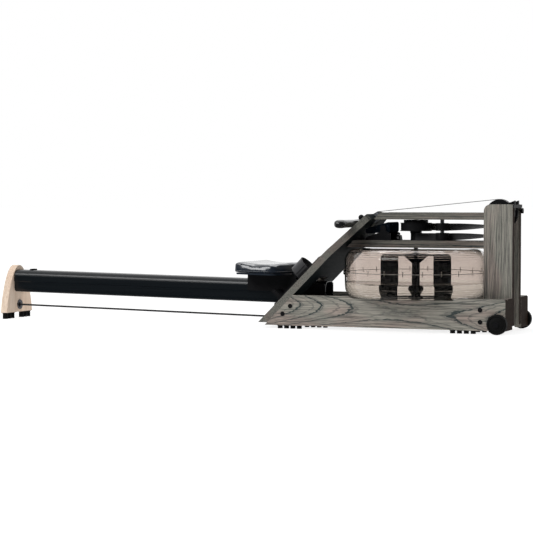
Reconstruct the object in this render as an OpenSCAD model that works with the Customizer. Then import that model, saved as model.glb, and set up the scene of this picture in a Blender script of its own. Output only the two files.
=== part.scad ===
// Rowing machine with a water tank: wooden frame, single rail, sliding seat,
// slanted footboard, and a pull strap that turns a paddle in the tank.
// +X is the front (tank end), +Z is up, and the origin is on the floor under the middle.

/* [Overall] */
// Distance from the middle to the rear end and to the front end
half_length = 1073; // [1068:1:1078]
// Distance from the middle plane to the outer face of a base beam
beam_outer_y = 166; // [164:1:168]
// Distance from the middle plane to the inner face of a post or rail
post_inner_y = 34; // [33.5:0.5:35]
// Thickness of the posts, rails and base beams
board_t = 30; // [28:1:30]
// Height of the post tops
post_top_z = 472; // [468:1:476]
// Slant of the footboard
slant = 45; // [45:1:45]

/* [Base] */
// Height of the outer floor pads
pad_h = 12.5; // [12:0.5:13]
// Height of the top edge of the base beams
beam_top_z = 127.5; // [126:0.5:129]
// Depth of the tank's seat in the beams
tank_seat_depth = 8; // [6:1:10]
// Thickness of the cross boards
cross_board_t = 12.5; // [10:0.5:12.5]
// Radius of the transport wheels
wheel_r = 37; // [35:0.5:37.5]
// Thickness of the transport wheels
wheel_t = 30; // [26:1:32]

/* [Rail] */
// Width of the monorail
rail_w = 88; // [86:1:88]
// Height of the monorail
rail_h = 90; // [86:1:92]
// Height of the rail's top face at the middle of the machine
rail_top_z = 181; // [179:1:183]
// Slope of the rail, lower at the front
rail_slope = 1; // [0.8:0.1:1.2]
// Wall thickness of the rail
rail_wall = 3; // [2.5:0.5:4]
// Front end of the rail
rail_front_x = 324; // [318:1:326]

/* [Footboard] */
// Point where the rower's face of the footboard meets the floor
footboard_x = 72.5; // [72:0.5:73]
// Thickness of the footboard
footboard_t = 26; // [25:0.5:26]
// Height of the footboard's level lower edge
footboard_low_z = 22; // [20:1:24]
// Height of the footboard's upper edge
footboard_high_z = 435; // [432:1:438]

/* [Tank] */
// Position of the tank's axis
tank_x = 671.5; // [670:0.5:673]
// Radius of the flange
flange_r = 274; // [272:1:274]
// Outer radius of the shells
tank_r = 269; // [267:1:270]
// Height of the upper face of the tank
tank_top_z = 305; // [303:1:306]
// Height of the joint between the two shells
tank_joint_z = 216.5; // [215:0.5:218]
// Wall thickness of the shells
tank_wall = 4; // [3:0.5:5]
// Corner radius of the shells
tank_corner_r = 45; // [42:1:46]

/* [Drive] */
// Radius of the paddle shaft
shaft_r = 8; // [8:0.5:8]
// Radius of the wound strap on its reel
reel_r = 57; // [55:1:58]
// Radius of the wound belt on the recoil drum
recoil_r = 20; // [19:1:21]
// Width of the strap and the belt
strap_w = 27; // [26:1:27]
// Thickness of the strap and the belt
strap_t = 1.5; // [1:0.5:1.5]
// Radius of the top pulley
top_pulley_r = 49; // [48:0.5:49]
// Radius of the two recoil pulleys
small_pulley_r = 22; // [21:1:23]
// Radius of the two guide rollers
guide_r = 24.5; // [24:0.5:24.5]
// Diameter of the bungee cord
bungee_d = 7.5; // [6:0.5:8]

/* [Seat and handle] */
// Half width of the seat
seat_half_w = 150; // [140:1:155]
// Rear end of the seat
seat_rear_x = -16; // [-18:0.5:-12]
// Radius of the seat rollers
seat_roller_r = 8.5; // [8:0.5:8.5]
// Half length of the handle
handle_half_l = 230; // [215:1:240]

/* [Hidden] */
$fn = 64;

wood = [0.55, 0.53, 0.49];
pale_wood = [0.87, 0.78, 0.68];
dark_wood = [0.25, 0.20, 0.17];
black = [0.05, 0.05, 0.06];
steel = [0.65, 0.66, 0.68];
smoke = [0.72, 0.66, 0.62, 0.6];

running = 0.05;         // radial clearance of a running fit
gap = 0.3;              // clearance of two faces that pass each other
side = [1, -1];         // +Y is the left side, -Y the right side

// Frame
post_outer_y = post_inner_y + board_t;
beam_inner_y = beam_outer_y - board_t;
beam_front_x = half_length - 10.5;
post_front_x = beam_front_x - 1.5;
post_rear_x = post_front_x - 108.5;
leg_rear_x = -half_length;
leg_t = 29;
leg_front_x = leg_rear_x + leg_t;
leg_foot_z = 25;
leg_top_z = 218;
leg_half_w = 102;
top_rail_z = [414.7, 441];
mid_rail_z = [309, 336];
cross_rear_x = [244.5, 339.5];
cross_front_x = [918.5, 1018.5];
wheel_x = half_length - wheel_r;
wheel_z = wheel_r + 0.5;
wheel_y = beam_outer_y + 2 + wheel_t / 2;
wheel_bolt_r = 6;
tank_seat_half = [193, 213];    // half lengths of the tank's seat, below and above
bolt_head_r = 8.5;
bolt_shank_r = 4.5;
bolt_places = [[195.5, 56], [226.5, 86], [968.5, 44], [968.5, 88]];

// Footboard
footboard_back_x = footboard_x + footboard_t / sin(slant);
board_notch_v = 560;
peg_v = 577;
peg_y = 40;
plate_y = 102;
heel_v = 168;

// Bungee cord
cord_z = 55;
cord_points = [[-1046, 0, 55], [-900, 0, 52], [-600, 0, 46.5], [-300, 0, 40.5], [0, 0, 35], [110, 0, 33],
    [240, 0, 35], [400, 0, 37.5], [566, 0, 40]];

// Filler plug, from the tank's axis
plug_x = -150;
plug_y = -140;
plug_r = 13;

// Drive, from the tank up
hub_r = 15;
paddle_turn = 17.5;
blade_r = [66, 133];
recoil_z = 350;
strap_z = 386.5;
pivot_r = 5;
spindle_x = tank_x + 111;
strap_path_r = strap_t / 2 + gap;
spindle_y = -(guide_r + strap_path_r);
spindle_r = 7.5;
top_pulley_x = 996.5;
top_pulley_z = 441;
lower_pulley_x = 999;
lower_pulley_z = 332;
bottom_pulley_z = 63;
small_axle_r = 6;
roller_x = 526.5;
roller_z = 433;
strap_roller_r = 10;
plate_y_half = post_inner_y;

// Seat
carriage_x = [2, 202];
seat_floor_h = 20.6;
seat_base_t = 7.4;
seat_top_h = 66;
roller_places = [40, 165];

// Monitor
monitor_pivot = [560, 384];
monitor_half_w = 55;
button_r = 5;

// Handle, held below the pegs on the footboard
handle_x = 441.5;
handle_z = 398.5;
handle_r = 16;
handle_flat = 6;         // half width of the grip's flat middle

function back_x(z) = footboard_back_x + z / tan(slant);
function arc(c, r, a0, a1, n = 10) = [for (i = [0 : n]) let (a = a0 + (a1 - a0) * i / n)
    [c.x + r * cos(a), c.y + r * sin(a)]];
function mix(a, b, t) = a + (b - a) * t;
// Direction of the line that touches two circles, both on its right
function outer_tangent(c1, r1, c2, r2) =
    atan2(c2.y - c1.y, c2.x - c1.x) - asin((r1 - r2) / norm(c2 - c1));
// The same with the first circle on the line's left
function cross_tangent(c1, r1, c2, r2) =
    atan2(c2.y - c1.y, c2.x - c1.x) + asin((r1 + r2) / norm(c2 - c1));

// A frame whose X is the rail's direction and whose Z = 0 is the rail's top face
module on_rail() {
    translate([0, 0, rail_top_z]) rotate([0, rail_slope, 0]) children();
}

// A frame on the rower's face of the footboard: X to the right side, Y up the slope, Z towards the rower
module on_board() {
    translate([footboard_x, 0, 0]) rotate([slant, 0, -90]) children();
}

// A plate outlined in the XZ plane, between y0 and y1
module side_plate(points, y0, y1) {
    translate([0, y1, 0]) rotate([90, 0, 0]) linear_extrude(y1 - y0) polygon(points);
}

// A cylinder along Y
module bar_y(x, z, r, y0, y1) {
    translate([x, y1, z]) rotate([90, 0, 0]) cylinder(r = r, h = y1 - y0);
}

module box(low, high) {
    translate(low) cube(high - low);
}

// A strip swept along frames of [point, width direction, thickness direction]
module ribbon(frames, w, t) {
    corners = [[1, 1], [-1, 1], [-1, -1], [1, -1]];
    points = [for (f = frames, k = corners) f[0] + f[1] * (k.x * w / 2) + f[2] * (k.y * t / 2)];
    last = (len(frames) - 1) * 4;
    sides = [for (i = [0 : len(frames) - 2], k = [0 : 3], half = [0, 1])
        let (a = i * 4 + k, b = i * 4 + (k + 1) % 4) half == 0 ? [a, b, b + 4] : [a, b + 4, a + 4]];
    polyhedron(points, concat([[3, 2, 1, 0]], sides, [[last, last + 1, last + 2, last + 3]]));
}

module rounded_post(x0, x1, z0, z1, rear_r, front_r) {
    concat_points = concat([[x0, z0], [x1, z0]], arc([x1 - front_r, z1 - front_r], front_r, 0, 90),
        arc([x0 + rear_r, z1 - rear_r], rear_r, 90, 180));
    polygon(concat_points);
}

// ---------------------------------------------------------------- rear leg and rail

// Half outline of the leg: upright sides that bend in to a round top
function leg_side() = [for (i = [0 : 16]) let (t = sin(90 * i / 16))
    [leg_half_w * sqrt(1 - pow(t, 1.35)), leg_foot_z + (leg_top_z - leg_foot_z) * t]];

module rear_leg() {
    right = leg_side();
    left = [for (i = [len(right) - 2 : -1 : 0]) [-right[i].x, right[i].y]];
    color(pale_wood) difference() {
        translate([leg_rear_x, 0, 0]) rotate([90, 0, 90]) linear_extrude(leg_t) polygon(concat(right, left));
        translate([leg_front_x - 12, 0, cord_z]) rotate([0, 90, 0]) cylinder(r = 12, h = 13);
    }
}

// A moulded foot: a thin strip with a row of round studs below it
module studded_foot(count, pitch, r, h) {
    strip_t = 2;
    length = (count - 1) * pitch + 2 * r;
    translate([-length / 2, -r, h - strip_t]) cube([length, 2 * r, strip_t]);
    for (i = [0 : count - 1]) translate([-length / 2 + r + i * pitch, 0, 0]) cylinder(r = r, h = h - strip_t);
}

module rear_foot_pads() {
    color(black) for (s = side)
        translate([leg_rear_x + leg_t / 2, s * 65, 0]) rotate([0, 0, 90]) studded_foot(3, 26, 11, leg_foot_z);
}

module cord_eyelet() {
    color(steel) translate([leg_front_x, 0, cord_z]) rotate([0, 90, 0]) difference() {
        union() {
            cylinder(r = 20, h = 3);
            translate([0, 0, -11.5]) cylinder(r = 11.5, h = 12);
            translate([0, 0, 3]) cylinder(r1 = 12, r2 = 8, h = 4);
        }
        translate([0, 0, -6]) cylinder(r = bungee_d / 2 + 0.2, h = 20);
    }
}

function rail_outline(inset) = let (w = rail_w / 2 - inset, v = w - 3, h = rail_h - inset, c = 18,
    u = 26 - inset) concat(
    arc([v - c, -h + c], c, -90, 0), [[v, -rail_h * 0.54], [w, -rail_h * 0.5]],
    arc([w - u, -inset - u], u, 0, 90), arc([-w + u, -inset - u], u, 90, 180),
    [[-w, -rail_h * 0.5], [-v, -rail_h * 0.54]], arc([-v + c, -h + c], c, 180, 270));

module monorail() {
    color(black) intersection() {
        on_rail() rotate([90, 0, 90]) translate([0, 0, -1200]) linear_extrude(1600) difference() {
            polygon(rail_outline(0));
            polygon(rail_outline(rail_wall));
        }
        box([leg_front_x, -60, 0], [rail_front_x, 60, 300]);
    }
}

module rail_cradle() {
    floor_z = 85.2;
    top = 168;
    foot_x = 262;
    front = 322;
    wall = 5;
    inner = rail_w / 2 + 0.3;
    low = pad_h + cross_board_t;
    color(black) {
        box([288, -inner, floor_z - 6], [front, inner, floor_z]);
        for (s = side) {
            side_plate([[back_x(60), 60], [foot_x, low], [front, low], [front, top], [back_x(top), top]],
                s > 0 ? inner : -inner - wall, s > 0 ? inner + wall : -inner);
            translate([foot_x, s > 0 ? inner + wall : -inner - wall - 18, low]) cube([front - foot_x, 18, 4]);
        }
    }
}

// Rubber stops on top of the rail, at both ends of the seat's travel
module rail_stops() {
    color(black) on_rail() {
        for (x = [206, -985]) translate([x, -18, 0]) cube([14, 36, 5]);
    }
}

// ---------------------------------------------------------------- base

function beam_outline() = [[back_x(pad_h), pad_h], [beam_front_x, pad_h], [beam_front_x, beam_top_z - 4],
    [beam_front_x - 4, beam_top_z], [tank_x + tank_seat_half[1], beam_top_z],
    [tank_x + tank_seat_half[0], beam_top_z - tank_seat_depth],
    [tank_x - tank_seat_half[0], beam_top_z - tank_seat_depth],
    [tank_x - tank_seat_half[1], beam_top_z], [back_x(beam_top_z), beam_top_z]];

module base_beam(s) {
    low = s > 0 ? beam_inner_y : -beam_outer_y;
    color(wood) difference() {
        side_plate(beam_outline(), low, low + board_t);
        for (p = bolt_places) bar_y(p.x, p.y, bolt_shank_r, low - 1, low + board_t + 1);
        bar_y(wheel_x, wheel_z, wheel_bolt_r, low - 1, low + board_t + 1);
    }
}
module base_beam_right() { base_beam(-1); }
module base_beam_left() { base_beam(1); }

module cross_boards() {
    color(wood) for (x = [cross_rear_x, cross_front_x])
        box([x[0], -beam_inner_y, pad_h], [x[1], beam_inner_y, pad_h + cross_board_t]);
}

module outer_floor_pads() {
    color(black) for (s = side, x = [219, 900])
        translate([x, s * (beam_outer_y - board_t / 2), 0]) studded_foot(4, 26, 9.5, pad_h);
}

module inner_floor_pads() {
    color(black) for (s = side, x = [cross_rear_x, cross_front_x])
        translate([(x[0] + x[1]) / 2, s * 60, 0]) studded_foot(4, 25, 9, pad_h);
}

module front_blocks() {
    color(dark_wood) for (s = side)
        translate([beam_front_x - 25, s > 0 ? post_outer_y : -beam_inner_y, pad_h])
            cube([25, beam_inner_y - post_outer_y, beam_top_z - pad_h]);
}

// Barrel bolts with flat heads, and the bolts that the wheels turn on
module frame_bolts() {
    out = wheel_y + wheel_t / 2;
    color(black) for (s = side) mirror([0, s < 0 ? 1 : 0, 0]) {
        for (p = bolt_places) {
            bar_y(p.x, p.y, bolt_head_r, beam_outer_y, beam_outer_y + 1.8);
            bar_y(p.x, p.y, bolt_shank_r, beam_inner_y + 4, beam_outer_y);
        }
        bar_y(wheel_x, wheel_z, wheel_bolt_r, beam_inner_y, out);
        bar_y(wheel_x, wheel_z, 11, out, out + 3);
    }
}

module wheel(s) {
    color(black) translate([wheel_x, s * wheel_y, wheel_z]) rotate([-90 * s, 0, 0]) rotate_extrude() {
        bore = wheel_bolt_r + running;
        half = wheel_t / 2;
        polygon(concat([[bore, -half + gap], [wheel_r - 4, -half + gap]],
            arc([wheel_r - 4, -half + gap + 4], 4, -90, 0, 5), arc([wheel_r - 6, half - 8], 6, 0, 90, 6),
            [[wheel_r - 9, half - 5], [18, half - 1], [bore, half - gap]]));
    }
}
module wheel_right() { wheel(-1); }
module wheel_left() { wheel(1); }

// ---------------------------------------------------------------- posts, rails and footboard

module post(s) {
    low = s > 0 ? post_inner_y : -post_outer_y;
    reach = s > 0 ? low - 1 : low + board_t - 20;
    color(wood) difference() {
        translate([0, low + board_t, 0]) rotate([90, 0, 0]) linear_extrude(board_t)
            rounded_post(post_rear_x, post_front_x, pad_h + cross_board_t, post_top_z, 25, 5);
        bar_y(top_pulley_x, top_pulley_z, shaft_r, reach, reach + 21);
        bar_y(lower_pulley_x, lower_pulley_z, small_axle_r, reach, reach + 21);
        bar_y(lower_pulley_x, bottom_pulley_z, small_axle_r, reach, reach + 21);
    }
}
module post_right() { post(-1); }
module post_left() { post(1); }

module long_rail(z, s) {
    low = s > 0 ? post_inner_y : -post_outer_y;
    color(wood) side_plate([[back_x(z[0]), z[0]], [post_rear_x, z[0]], [post_rear_x, z[1]],
        [back_x(z[1]), z[1]]], low, low + board_t);
}
module top_rail_right() { long_rail(top_rail_z, -1); }
module top_rail_left() { long_rail(top_rail_z, 1); }
module mid_rail_right() { long_rail(mid_rail_z, -1); }
module mid_rail_left() { long_rail(mid_rail_z, 1); }

// Half outline of the footboard: across, and up the slope
function up(z) = z / sin(slant);
function board_side() = concat([[beam_outer_y, 0]],
    arc([beam_outer_y - 90, up(285)], 90, 0, 25, 6),
    [[102, up(footboard_high_z) - 8], [94, up(footboard_high_z)]]);

module footboard() {
    right = board_side();
    left = [for (i = [len(right) - 1 : -1 : 0]) [-right[i].x, right[i].y]];
    cut = rail_w / 2 + 1.5;
    color(wood) difference() {
        on_board() translate([0, 0, -footboard_t]) linear_extrude(footboard_t) polygon(concat(right, left));
        on_board() translate([-20, board_notch_v, -footboard_t - 1]) cube([40, 80, footboard_t + 2]);
        translate([100, 0, -1]) on_rail() translate([0, -cut, -rail_h - 1]) cube([260, 2 * cut, rail_h + 14]);
        box([60, -11, 0], [160, 11, 48]);
        box([60, -200, -60], [160, 200, footboard_low_z]);
    }
}

module handle_pegs() {
    color(black) on_board() for (s = side) translate([s * peg_y, peg_v, 0]) {
        cylinder(r = 6, h = 16);
        translate([0, 0, 19]) sphere(r = 11);
    }
}

module foot_plates() {
    color(black) on_board() for (s = side) translate([s * plate_y, 0, 0]) {
        difference() {
            translate([-45, 120, 0]) cube([90, 260, 8]);
            for (i = [0 : 5]) translate([0, 140 + i * 18, 3]) cylinder(r = 4, h = 6);
        }
    }
}

// A strap that arches over each foot plate
module foot_straps() {
    w = 55;
    arch_z = 17;
    color(black) on_board() for (s = side) translate([s * plate_y, 262, 8]) rotate([-90, 0, 0]) mirror([0, 1, 0])
        linear_extrude(w) intersection() {
            translate([-50, 0]) square([100, 80]);
            difference() {
                union() {
                    translate([0, arch_z]) circle(r = 40);
                    translate([-40, 0]) square([80, arch_z]);
                }
                translate([0, arch_z]) circle(r = 36.5);
                translate([-36.5, -1]) square([73, arch_z + 1]);
            }
        }
}

// A heel cup that clips into the holes of its plate
module heel_rest(s) {
    color(black) on_board() translate([s * plate_y, heel_v, 8 + gap]) difference() {
        union() {
            translate([-34, -22, 0]) cube([68, 100, 5]);
            translate([-40, -22, 0]) cube([80, 14, 42]);
        }
        translate([0, 36, 46]) rotate([90, 0, 0]) cylinder(r = 42, h = 46);
    }
}
module heel_rest_right() { heel_rest(1); }
module heel_rest_left() { heel_rest(-1); }

// ---------------------------------------------------------------- tank

flange_in = 2;
function shell_profile(up_sign, r, z_joint, z_end, hole) = let (c = tank_corner_r, w = tank_wall, k = up_sign) concat(
    [[hole, z_end], [r - c, z_end]],
    [for (p = arc([r - c, 0], c, 90, 0, 8)) [p.x, z_end - k * (c - p.y)]],
    [[r, z_joint + k * 9], [flange_r, z_joint + k * 9], [flange_r, z_joint + k], [r - w, z_joint + k]],
    [for (p = arc([r - c, 0], c - w, 0, 90, 8)) [p.x, z_end - k * (c - p.y)]],
    [[hole, z_end - k * w]]);

module tank_lower_shell() {
    low = beam_top_z - tank_seat_depth;
    color(smoke) translate([tank_x, 0, 0]) difference() {
        union() {
            rotate_extrude($fn = 128) polygon(shell_profile(-1, tank_r, tank_joint_z, low, 0));
            translate([0, 0, low + 1]) cylinder(r = pivot_r, h = 19);
        }
        for (a = [0 : 15 : 345]) rotate([0, 0, a + 7.5]) translate([271.5, 0, tank_joint_z - 10])
            cylinder(r = 1.5, h = 10);
    }
}

module tank_upper_shell() {
    color(smoke) translate([tank_x, 0, 0]) difference() {
        rotate_extrude($fn = 128) polygon(shell_profile(1, tank_r, tank_joint_z, tank_top_z, shaft_r + 0.5));
        translate([plug_x, plug_y, tank_top_z - 10]) cylinder(r = plug_r + running, h = 20);
        for (a = [0 : 15 : 345]) rotate([0, 0, a + 7.5]) translate([271.5, 0, tank_joint_z])
            cylinder(r = 1.5, h = 10);
    }
}

module tank_seal() {
    color(black) translate([tank_x, 0, tank_joint_z - 1]) difference() {
        cylinder(r = 269.5, h = 2);
        translate([0, 0, -1]) cylinder(r = tank_r - tank_wall, h = 4);
    }
}

// The filler plug: a stem in the upper shell and a round head
module tank_plug() {
    color(black) translate([tank_x + plug_x, plug_y, tank_top_z]) {
        translate([0, 0, -8]) cylinder(r = plug_r, h = 8);
        cylinder(r = plug_r + 3, h = 3);
    }
}

module flange_screws() {
    color(steel) translate([tank_x, 0, 0]) for (a = [0 : 15 : 345]) rotate([0, 0, a + 7.5])
        translate([271.5, 0, tank_joint_z]) {
            translate([0, 0, -9]) cylinder(r = 1.5, h = 18);
            translate([0, 0, 9]) cylinder(r = 2.4, h = 1.6);
        }
}

// A cupped blade: an arc seen from above, with rounded outer corners
module paddle_blade() {
    in = blade_r[0];
    out = blade_r[1];
    cup_r = 61;
    blade_t = 5;
    intersection() {
        translate([(in + out) / 2, 10 - cup_r, 120]) difference() {
            cylinder(r = cup_r, h = 172);
            translate([0, 0, -1]) cylinder(r = cup_r - blade_t, h = 174);
        }
        translate([0, 20, 0]) rotate([90, 0, 0]) linear_extrude(30) polygon(concat([[in, 130]],
            arc([out - 22, 152], 22, -90, 0, 6), arc([out - 14, 268], 14, 0, 90, 6), [[in, 282]]));
    }
}

module paddle() {
    color(black) translate([tank_x, 0, 0]) difference() {
        union() {
            translate([0, 0, 129]) cylinder(r = hub_r, h = 157);
            translate([0, 0, 250]) cylinder(r1 = hub_r, r2 = 48, h = 28);
            translate([0, 0, 278]) cylinder(r = 48, h = 4);
            translate([0, 0, 136]) cylinder(r1 = hub_r, r2 = 30, h = 18);
            translate([0, 0, 154]) cylinder(r1 = 30, r2 = 25, h = 6);
            for (a = [0 : 90 : 270]) rotate([0, 0, a + paddle_turn]) {
                paddle_blade();
                translate([10, -5.5, 276]) cube([59, 5, 5]);
                translate([10, -5.5, 131]) cube([59, 5, 6]);
            }
        }
        translate([0, 0, 120]) cylinder(r = pivot_r + running, h = 21);
        translate([0, 0, 240]) cylinder(r = shaft_r, h = 50);
    }
}

module paddle_shaft() {
    color(steel) translate([tank_x, 0, 240]) cylinder(r = shaft_r, h = 188);
}

// ---------------------------------------------------------------- drive

module bearing_plates() {
    color(black) difference() {
        union() {
            for (z = [311, 424]) box([628, -plate_y_half, z], [812, plate_y_half, z + 6]);
            translate([tank_x, 0, 317]) cylinder(r = 22, h = 12);
            translate([tank_x, 0, 416]) cylinder(r = 22, h = 8);
        }
        translate([tank_x, 0, 300]) cylinder(r = shaft_r + running, h = 140);
        translate([spindle_x, spindle_y, 300]) cylinder(r = spindle_r, h = 140);
    }
}

module roller_spindle() {
    color(steel) translate([spindle_x, spindle_y, 311]) cylinder(r = spindle_r, h = 119);
}

// A reel on a vertical axis: hub, two flanges and the wound band
module strap_reel() {
    color(black) translate([tank_x, 0, 0]) difference() {
        union() {
            translate([0, 0, strap_z - strap_w / 2]) cylinder(r = reel_r, h = strap_w);
            translate([0, 0, strap_z - strap_w / 2 - 2]) cylinder(r = reel_r + 3, h = 2);
            translate([0, 0, strap_z + strap_w / 2]) cylinder(r = reel_r + 3, h = 2);
            translate([0, 0, strap_z + strap_w / 2 + 2]) cylinder(r = 46, h = 11);
            translate([0, 0, recoil_z - strap_w / 2 - 2]) cylinder(r = recoil_r + 2, h = 2);
            translate([0, 0, recoil_z - strap_w / 2]) cylinder(r = recoil_r, h = strap_w);
            translate([0, 0, recoil_z + strap_w / 2]) cylinder(r = recoil_r + 2, h = 8);
        }
        translate([0, 0, 320]) cylinder(r = shaft_r + running, h = 110);
    }
}

module guide_roller(z) {
    color(black) translate([spindle_x, spindle_y, z - strap_w / 2]) difference() {
        cylinder(r = guide_r, h = strap_w + 1.5);
        translate([0, 0, -1]) cylinder(r = spindle_r + running, h = strap_w + 5);
    }
}
module strap_guide_roller() { guide_roller(strap_z); }
module belt_guide_roller() { guide_roller(recoil_z); }

// A flat-belt pulley along Y with two low flanges
module belt_pulley(x, z, r, bore) {
    color(black) translate([x, 0, z]) rotate([90, 0, 0]) difference() {
        translate([0, 0, -16]) rotate_extrude() polygon([[0, 0], [r - 1, 0], [r - 1, 1.5], [r, 2],
            [r, 30], [r - 1, 30.5], [r - 1, 32], [0, 32]]);
        translate([0, 0, -20]) cylinder(r = bore + running, h = 40);
    }
}
module top_pulley() { belt_pulley(top_pulley_x, top_pulley_z, top_pulley_r, shaft_r); }
module lower_pulley() { belt_pulley(lower_pulley_x, lower_pulley_z, small_pulley_r, small_axle_r); }
module bottom_pulley() { belt_pulley(lower_pulley_x, bottom_pulley_z, small_pulley_r, small_axle_r); }

module pulley_axles() {
    reach = post_inner_y + 20;
    color(steel) {
        bar_y(top_pulley_x, top_pulley_z, shaft_r, -reach, reach);
        for (z = [lower_pulley_z, bottom_pulley_z]) bar_y(lower_pulley_x, z, small_axle_r, -reach, reach);
        bar_y(roller_x, roller_z, 4, -post_inner_y, post_inner_y);
        for (y = [[16.5, 20], [-20, -16.5]]) side_plate([[494, 402], [506, 399], [536, 426], [536, 441],
            [518, 441], [494, 417]], y[0], y[1]);
    }
}

module strap_guard() {
    r = top_pulley_r + 4;
    color(black) for (s = side) side_plate(concat(
        arc([top_pulley_x, top_pulley_z], r, 20, -40, 6), arc([top_pulley_x, top_pulley_z], r + 10, -40, 20, 6)),
        s > 0 ? 18 : -post_inner_y + gap, s > 0 ? post_inner_y - gap : -18);
    color(black) for (y = [[18, post_inner_y - gap], [-post_inner_y + gap, -18]])
        side_plate([[1040, 450], [post_front_x, 450], [post_front_x, 486], [1030, 474]], y[0], y[1]);
    color(black) box([post_front_x, -post_outer_y, 459], [post_front_x + 3.5, post_outer_y, 471]);
}

module guard_knob() {
    color(black) translate([post_front_x, post_inner_y + 13, 448]) rotate([0, 90, 0]) {
        cylinder(r = 5, h = 4);
        translate([0, 0, 4]) cylinder(r = 10, h = 8);
    }
}

// The handle strap: off the reel, round its roller, twisted flat, over the top pulley and back
strap_dir = outer_tangent([tank_x, 0], reel_r + strap_path_r, [spindle_x, spindle_y], guide_r + strap_path_r);
belt_dir = cross_tangent([tank_x, 0], recoil_r + strap_path_r, [spindle_x, spindle_y], guide_r + strap_path_r);
roof_dir = outer_tangent([roller_x, roller_z], strap_roller_r + strap_path_r,
    [top_pulley_x, top_pulley_z], top_pulley_r + strap_path_r);

// A frame beside a vertical roller, at angle a round it
function beside(x, y, r, a, z) = [[x + r * cos(a), y + r * sin(a), z], [0, 0, 1], [cos(a), sin(a), 0]];
// A frame on a pulley whose axis is along Y, at angle a from +X towards +Z
function around(x, z, r, a) = [[x + r * cos(a), 0, z + r * sin(a)], [0, 1, 0], [cos(a), 0, sin(a)]];
// The quarter turn between them, along X
function twist(x0, z0, x1, z1, n, turn) = [for (i = [0 : n]) let (t = i / n, a = turn * t)
    [[mix(x0, x1, t), 0, mix(z0, z1, t)], [0, sin(a), cos(a)], [0, cos(a), -sin(a)]]];

function strap_frames() = concat(
    [beside(tank_x, 0, reel_r + strap_path_r, 90 + strap_dir, strap_z)],
    [for (i = [0 : 4]) beside(spindle_x, spindle_y, guide_r + strap_path_r, 90 + strap_dir * (1 - i / 4), strap_z)],
    twist(795, strap_z, 990, top_pulley_z - top_pulley_r - strap_path_r, 12, 90),
    [for (i = [0 : 16]) around(top_pulley_x, top_pulley_z, top_pulley_r + strap_path_r,
        -90 + (180 + roof_dir) * i / 16)],
    [for (i = [0 : 4]) around(roller_x, roller_z, strap_roller_r + strap_path_r, 90 + roof_dir + i * 7)]);

module handle_strap() {
    color(black) ribbon(strap_frames(), strap_w, strap_t);
}

// The same frame with its thickness the other way, which keeps one side of the belt outwards all along it
function turned(f) = [f[0], f[1], -f[2]];

function belt_frames() = concat(
    [turned(beside(tank_x, 0, recoil_r + strap_path_r, -90 + belt_dir, recoil_z))],
    [for (i = [0 : 4]) beside(spindle_x, spindle_y, guide_r + strap_path_r, 90 + belt_dir * (1 - i / 4), recoil_z)],
    twist(795, recoil_z, 990, lower_pulley_z + small_pulley_r + strap_path_r, 12, 90),
    [for (i = [0 : 8]) turned(around(lower_pulley_x, lower_pulley_z, small_pulley_r + strap_path_r,
        90 - 90 * i / 8))],
    [for (i = [0 : 8]) turned(around(lower_pulley_x, bottom_pulley_z, small_pulley_r + strap_path_r,
        -90 * i / 8))],
    [[[582, 0, 40], [0, 1, 0], [0, 0, 1]]]);

module recoil_belt() {
    color(black) ribbon(belt_frames(), strap_w, strap_t);
}

module belt_clip() {
    color(steel) difference() {
        box([556, -16, 35], [584, 16, 45]);
        box([550, -14, 38.9], [590, 14, 41.1]);
        translate([550, 0, 40]) rotate([0, 90, 0]) cylinder(r = bungee_d / 2 + 0.4, h = 40);
    }
}

// A round tube of eight sides along a list of points
function cord_ring(i) = let (p = cord_points, n = len(p) - 1,
    d = p[min(i + 1, n)] - p[max(i - 1, 0)], t = d / norm(d), u = [-t.z, 0, t.x])
    [for (k = [0 : 7]) p[i] + bungee_d / 2 * (cos(k * 45) * [0, 1, 0] + sin(k * 45) * u)];

module bungee_cord() {
    n = len(cord_points);
    rings = [for (i = [0 : n - 1], q = cord_ring(i)) q];
    sides = [for (i = [0 : n - 2], k = [0 : 7], half = [0, 1])
        let (a = i * 8 + k, b = i * 8 + (k + 1) % 8) half == 0 ? [a, a + 8, b + 8] : [a, b + 8, b]];
    color(black) polyhedron(rings, concat([[for (k = [0 : 7]) k]], sides,
        [[for (k = [7 : -1 : 0]) (n - 1) * 8 + k]]));
}

module board_roller() {
    color(black) translate([roller_x, 0, roller_z]) rotate([90, 0, 0]) difference() {
        translate([0, 0, -16]) cylinder(r = strap_roller_r, h = 32);
        translate([0, 0, -20]) cylinder(r = 4 + running, h = 40);
    }
}

// ---------------------------------------------------------------- seat

// Half outline of the seat seen from above: wide behind, narrow between the legs in front
function seat_side() = concat(arc([seat_rear_x + 14, seat_half_w - 14], 14, 180, 90, 6),
    [[90, seat_half_w]], arc([125, seat_half_w - 38], 38, 80, 20, 5), [[190, 62]],
    arc([187, 32], 18, 70, 0, 5));

module seat_outline() {
    left = seat_side();
    polygon(concat(left, [for (i = [len(left) - 1 : -1 : 0]) [left[i].x, -left[i].y]]));
}

module seat_pad() {
    low = seat_floor_h + seat_base_t;
    color(black) on_rail() difference() {
        translate([0, 0, low]) linear_extrude(seat_top_h - low) seat_outline();
        translate([95, -200, 560]) rotate([-90, 0, 0]) cylinder(r = 502, h = 400, $fn = 128);
    }
}

module seat_base() {
    color(black) on_rail() translate([0, 0, seat_floor_h]) linear_extrude(seat_base_t) offset(delta = -8)
        seat_outline();
}

module seat_carriage() {
    inner = rail_w / 2 + 2;
    color(black) on_rail() difference() {
        union() {
            translate([carriage_x[0], -inner - 3, seat_floor_h - 2.2]) cube([200, 2 * inner + 6, 2.2]);
            for (s = side) translate([carriage_x[0], s > 0 ? inner : -inner - 3, -45]) cube([200, 3, 64]);
        }
        for (x = roller_places) translate([x, 60, seat_roller_r + 0.05]) rotate([90, 0, 0])
            cylinder(r = 3, h = 120);
    }
}

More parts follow.
